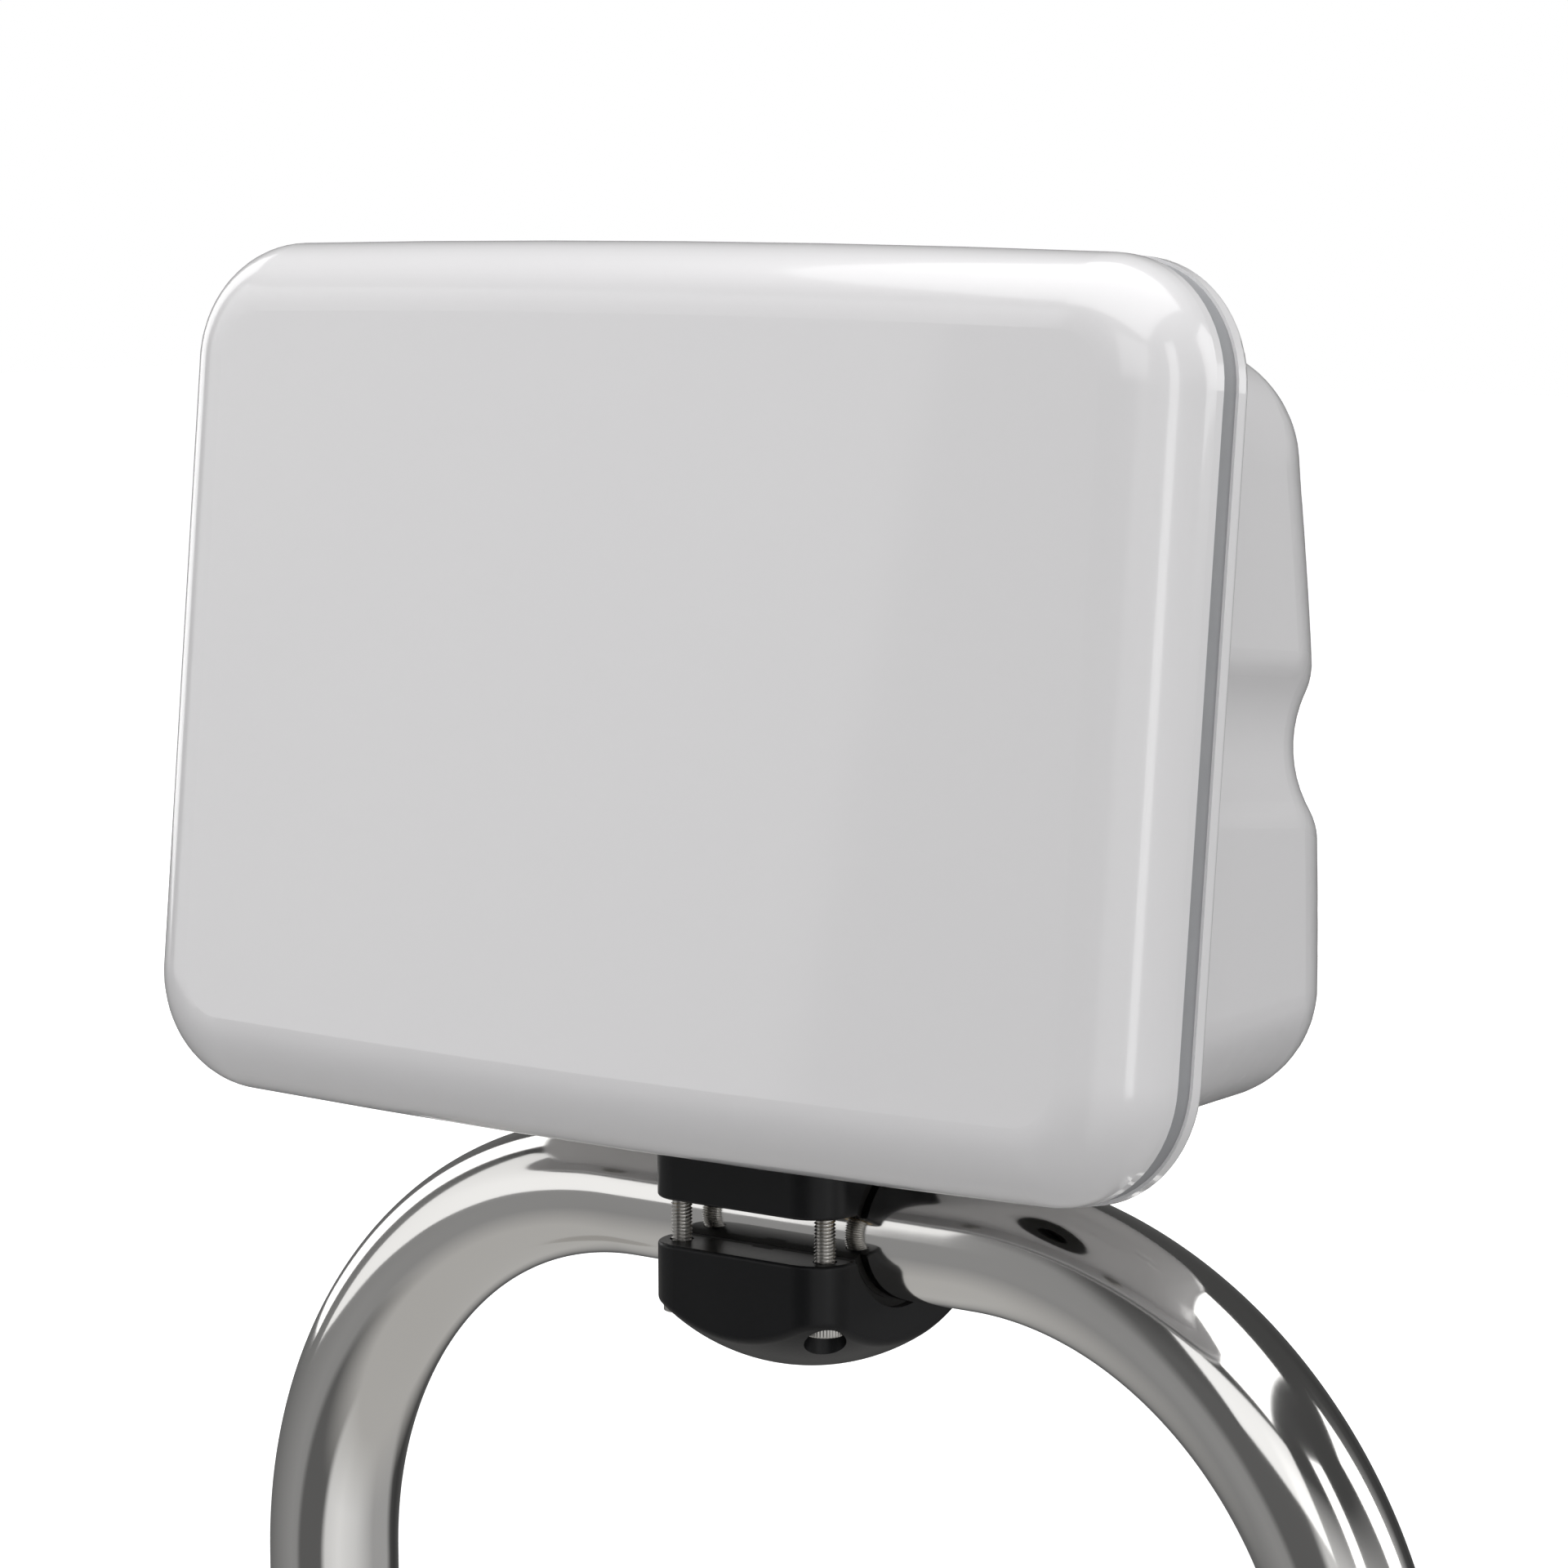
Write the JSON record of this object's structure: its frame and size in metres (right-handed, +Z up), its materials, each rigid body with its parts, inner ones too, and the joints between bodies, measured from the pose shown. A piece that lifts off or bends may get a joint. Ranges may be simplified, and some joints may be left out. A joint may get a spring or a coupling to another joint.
{
  "type": "helm instrument pod on a guard hoop",
  "caption": "Blank-faced weatherproof instrument pod that tilts on a two-part clamp round the top of a polished tube hoop",
  "frame": {"origin": "midway between the cut ends of the hoop's two legs, in the plane of the cuts", "axes": "+Z up along the legs, X along the hoop's level top tube, -Y towards the side the pod's face looks to"},
  "size_m": [0.3364, 0.1168, 0.351],
  "materials": {
    "white_gelcoat": "glossy moulded white",
    "grey_seal": "smooth mid-grey elastomer",
    "polished_stainless": "mirror-polished stainless tube",
    "stainless_fastener": "machined stainless",
    "brass": "turned brass",
    "black_nylon": "satin black moulded nylon",
    "black_rubber": "matt black rubber"
  },
  "bodies": {
    "guard": {"guard_hoop": "polished_stainless"},
    "pod": {"front_shell": "white_gelcoat", "cover_inserts": "brass", "face_seal": "grey_seal", "rear_shell": "white_gelcoat", "cover_washers": "stainless_fastener", "cover_screws": "stainless_fastener", "upper_jaw": "black_nylon", "upper_liner": "black_rubber", "clamp_inserts": "brass", "jaw_gasket": "black_rubber", "backing_plate": "stainless_fastener", "jaw_screws": "stainless_fastener", "jaw_inserts": "brass", "cable_grommet": "black_rubber"},
    "lower_clamp": {"lower_jaw": "black_nylon", "lower_liner": "black_rubber", "bolt_washers": "stainless_fastener"},
    "bolt_1": {"clamp_bolt_1": "stainless_fastener"},
    "bolt_2": {"clamp_bolt_2": "stainless_fastener"},
    "bolt_3": {"clamp_bolt_3": "stainless_fastener"},
    "bolt_4": {"clamp_bolt_4": "stainless_fastener"}
  },
  "joints": [
    {"name": "pod_tilt", "type": "hinge", "parent": "guard", "child": "pod", "pos_m": [0, 0, 0.13], "axis": [1, 0, 0], "range_deg": [-45, 45]},
    {"name": "jaw_release", "type": "slide", "parent": "pod", "child": "lower_clamp", "axis": [0, 0, -1], "range_m": [0, 0.01]},
    {"name": "bolt_1_turn", "type": "hinge", "parent": "lower_clamp", "child": "bolt_1", "pos_m": [-0.0208, -0.0213, 0.11], "axis": [0, 0, 1], "continuous": true},
    {"name": "bolt_2_turn", "type": "hinge", "parent": "lower_clamp", "child": "bolt_2", "pos_m": [-0.0208, 0.0213, 0.11], "axis": [0, 0, 1], "continuous": true},
    {"name": "bolt_3_turn", "type": "hinge", "parent": "lower_clamp", "child": "bolt_3", "pos_m": [0.0208, -0.0213, 0.11], "axis": [0, 0, 1], "continuous": true},
    {"name": "bolt_4_turn", "type": "hinge", "parent": "lower_clamp", "child": "bolt_4", "pos_m": [0.0208, 0.0213, 0.11], "axis": [0, 0, 1], "continuous": true}
  ]
}
